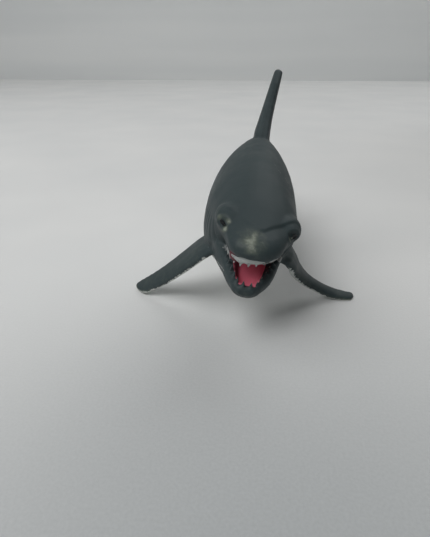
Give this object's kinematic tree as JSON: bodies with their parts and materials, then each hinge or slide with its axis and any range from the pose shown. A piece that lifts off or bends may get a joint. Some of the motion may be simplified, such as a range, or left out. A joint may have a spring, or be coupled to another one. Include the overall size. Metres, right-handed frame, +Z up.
{
  "type": "shark figurine",
  "caption": "Moulded toy shark with an open toothed mouth, standing on both pectoral fins and its tail.",
  "frame": {"origin": "centre of the bounding box at the surface the figurine stands on", "axes": "+Z up, -Y where the snout points, +X to the shark's left"},
  "size_m": [0.102, 0.1988, 0.0925],
  "materials": {
    "vinyl_grey": "satin painted soft vinyl"
  },
  "bodies": {
    "root": {"shark_body": "vinyl_grey"}
  },
  "joints": []
}
